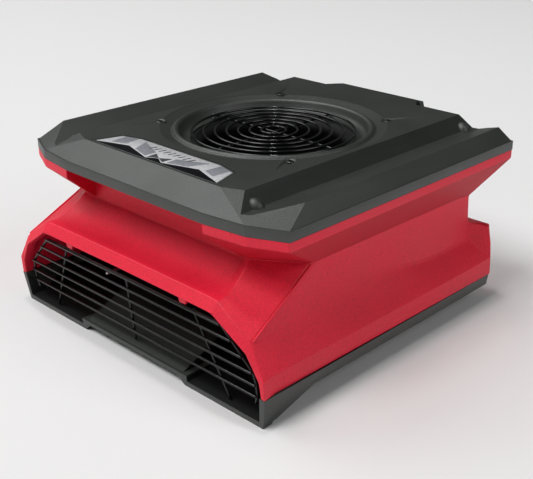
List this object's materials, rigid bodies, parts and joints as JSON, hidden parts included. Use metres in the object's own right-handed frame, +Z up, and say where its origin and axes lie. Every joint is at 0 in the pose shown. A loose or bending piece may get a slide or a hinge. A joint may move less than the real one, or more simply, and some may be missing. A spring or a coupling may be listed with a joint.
{
  "type": "air mover",
  "caption": "Low-profile radial air mover: moulded cover with round inlet guard, flared body with wide wired outlet slot, tray base, fan wheel and motor inside.",
  "frame": {"origin": "on the floor, at the bottom centre of the whole object's bounding box", "axes": "+Z up, the outlet faces -Y, +X to the right seen from the outlet's side looking along +Y"},
  "size_m": [0.4234, 0.4416, 0.2206],
  "materials": {
    "charcoal_plastic": "fine-grained dark grey-green moulded plastic",
    "red_plastic": "fine-grained bright red moulded plastic",
    "black_plastic": "black moulded plastic, slightly glossy",
    "black_wire": "steel wire with black powder coat",
    "zinc": "bright zinc-plated steel",
    "steel": "plain steel",
    "aluminium": "die-cast aluminium",
    "motor_black": "black painted motor can",
    "copper": "enamelled copper windings",
    "lamination": "stacked steel laminations",
    "rubber": "black rubber",
    "label_silver": "plain faceted silver and black badge, no text",
    "panel_grey": "dark grey painted sheet",
    "ivory": "ivory moulded plastic",
    "lens": "clear display window",
    "signal_red": "red moulded plastic",
    "signal_amber": "amber moulded plastic"
  },
  "bodies": {
    "housing": {"top_cover": "charcoal_plastic", "upper_body": "red_plastic", "base_tray": "charcoal_plastic", "rear_foot_right": "rubber", "rear_foot_left": "rubber", "outlet_grille": "black_wire", "grille_stay": "zinc", "inlet_guard": "black_wire", "inlet_ring": "charcoal_plastic", "stator_carrier": "aluminium", "bearing_lower": "steel", "bearing_upper": "steel", "stator_core": "lamination", "stator_winding_upper": "copper", "stator_winding_lower": "copper", "motor_pedestal": "black_plastic", "scroll_housing": "black_plastic", "control_panel": "panel_grey", "switch_housing": "black_plastic", "receptacle": "ivory", "hour_meter": "black_plastic", "hour_meter_lens": "lens", "circuit_breaker": "black_plastic", "cord_gland": "black_plastic", "run_capacitor": "aluminium", "capacitor_strap": "zinc", "terminal_box": "panel_grey", "label_plate": "label_silver", "rear_handle": "charcoal_plastic", "guard_clip_1": "zinc", "cover_screw_1": "steel", "motor_screw_1": "steel", "tray_screw_1": "steel", "panel_screw_1": "steel", "guard_clip_2": "zinc", "cover_screw_2": "steel", "motor_screw_2": "steel", "tray_screw_2": "steel", "panel_screw_2": "steel", "guard_clip_3": "zinc", "cover_screw_3": "steel", "motor_screw_3": "steel", "tray_screw_3": "steel", "panel_screw_3": "steel", "guard_clip_4": "zinc", "cover_screw_4": "steel", "motor_screw_4": "steel", "tray_screw_4": "steel", "panel_screw_4": "steel"},
    "impeller_rotor": {"impeller": "black_plastic", "rotor_can": "motor_black", "motor_shaft": "steel"},
    "speed_rocker": {"speed_switch": "signal_red"},
    "test_key": {"test_button": "black_plastic"},
    "reset_key": {"reset_button": "signal_red"},
    "breaker_key": {"breaker_button": "signal_amber"}
  },
  "joints": [
    {"name": "impeller_spin", "type": "hinge", "parent": "housing", "child": "impeller_rotor", "pos_m": [0, 0.0164, 0.13], "axis": [0, 0, 1], "continuous": true},
    {"name": "speed_switch_tilt", "type": "hinge", "parent": "housing", "child": "speed_rocker", "pos_m": [-0.074, 0.1848, 0.069], "axis": [1, 0, 0], "range_deg": [-10, 10]},
    {"name": "test_press", "type": "slide", "parent": "housing", "child": "test_key", "axis": [0, -1, 0], "range_m": [0, 0.0016], "stiffness_N_per_m": 400},
    {"name": "reset_press", "type": "slide", "parent": "housing", "child": "reset_key", "axis": [0, -1, 0], "range_m": [0, 0.0016], "stiffness_N_per_m": 400},
    {"name": "breaker_press", "type": "slide", "parent": "housing", "child": "breaker_key", "axis": [0, -1, 0], "range_m": [0, 0.002], "stiffness_N_per_m": 500}
  ]
}
